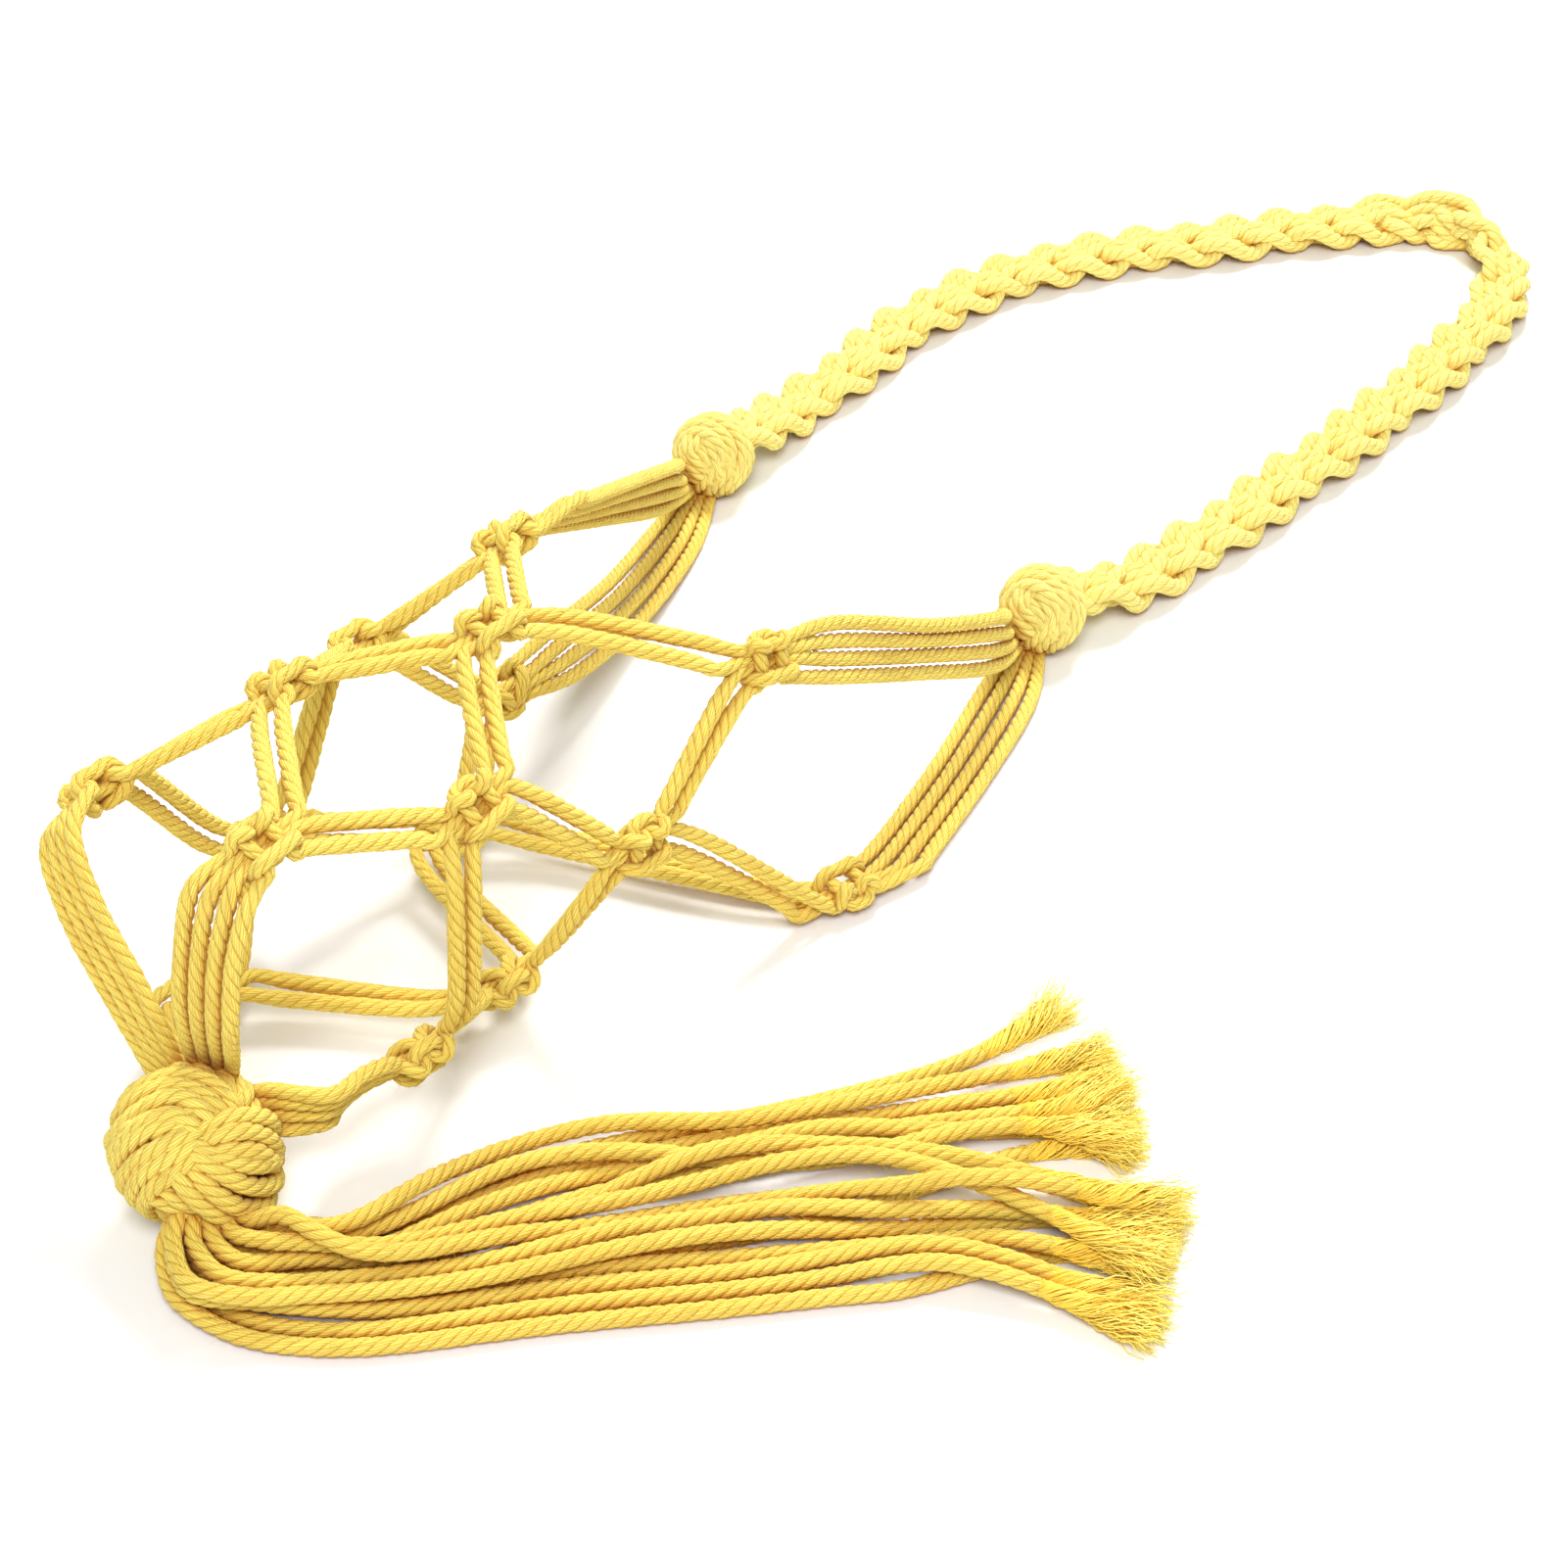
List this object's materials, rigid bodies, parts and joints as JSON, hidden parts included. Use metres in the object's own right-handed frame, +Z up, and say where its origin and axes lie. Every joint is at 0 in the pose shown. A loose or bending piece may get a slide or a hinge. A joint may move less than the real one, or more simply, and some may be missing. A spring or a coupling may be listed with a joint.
{
  "type": "rope bottle holder",
  "caption": "Knotted cotton-cord net for carrying a bottle, with a plaited wrist strap at its mouth and a large knot with a cord tassel under its base.",
  "frame": {"origin": "under the middle of the whole holder's bounding box, on the surface that it lies on", "axes": "+X along the net's axis, from the large knot under its base to the strap's tip; +Z up from the surface; the tassel lies on the -Y side"},
  "size_m": [0.5654, 0.2942, 0.0972],
  "materials": {
    "net_cord": "matte",
    "knot_cord": "matte",
    "strap_cord": "matte",
    "tassel_cord": "matte"
  },
  "bodies": {
    "net": {"net_cord_01": "net_cord", "net_cord_02": "net_cord", "net_cord_03": "net_cord", "net_cord_04": "net_cord", "net_cord_05": "net_cord", "net_cord_06": "net_cord", "net_cord_07": "net_cord", "net_cord_08": "net_cord", "net_cord_09": "net_cord", "net_cord_10": "net_cord", "net_cord_11": "net_cord", "net_cord_12": "net_cord", "net_cord_13": "net_cord", "net_cord_14": "net_cord", "net_cord_15": "net_cord", "net_cord_16": "net_cord", "side_knot_front": "knot_cord", "side_knot_back": "knot_cord", "tassel_knot": "knot_cord"},
    "strap": {"strap_strand_1": "strap_cord", "strap_strand_2": "strap_cord", "strap_strand_3": "strap_cord"},
    "tassel": {"tassel_cord_01": "tassel_cord", "tassel_cord_02": "tassel_cord", "tassel_cord_03": "tassel_cord", "tassel_cord_04": "tassel_cord", "tassel_cord_05": "tassel_cord", "tassel_cord_06": "tassel_cord", "tassel_cord_07": "tassel_cord", "tassel_cord_08": "tassel_cord", "tassel_cord_09": "tassel_cord", "tassel_cord_10": "tassel_cord", "tassel_cord_11": "tassel_cord", "tassel_cord_12": "tassel_cord", "tassel_cord_13": "tassel_cord", "tassel_cord_14": "tassel_cord", "tassel_cord_15": "tassel_cord", "tassel_cord_16": "tassel_cord"}
  },
  "joints": [
    {"name": "strap_fold", "type": "hinge", "parent": "net", "child": "strap", "pos_m": [0.02059, 0.07272, 0.0115], "axis": [0, -1, 0], "range_deg": [0, 100]},
    {"name": "tassel_swing", "type": "hinge", "parent": "net", "child": "tassel", "pos_m": [-0.25741, 0.02972, 0.018], "axis": [0, 0, -1], "range_deg": [0, 100]}
  ]
}
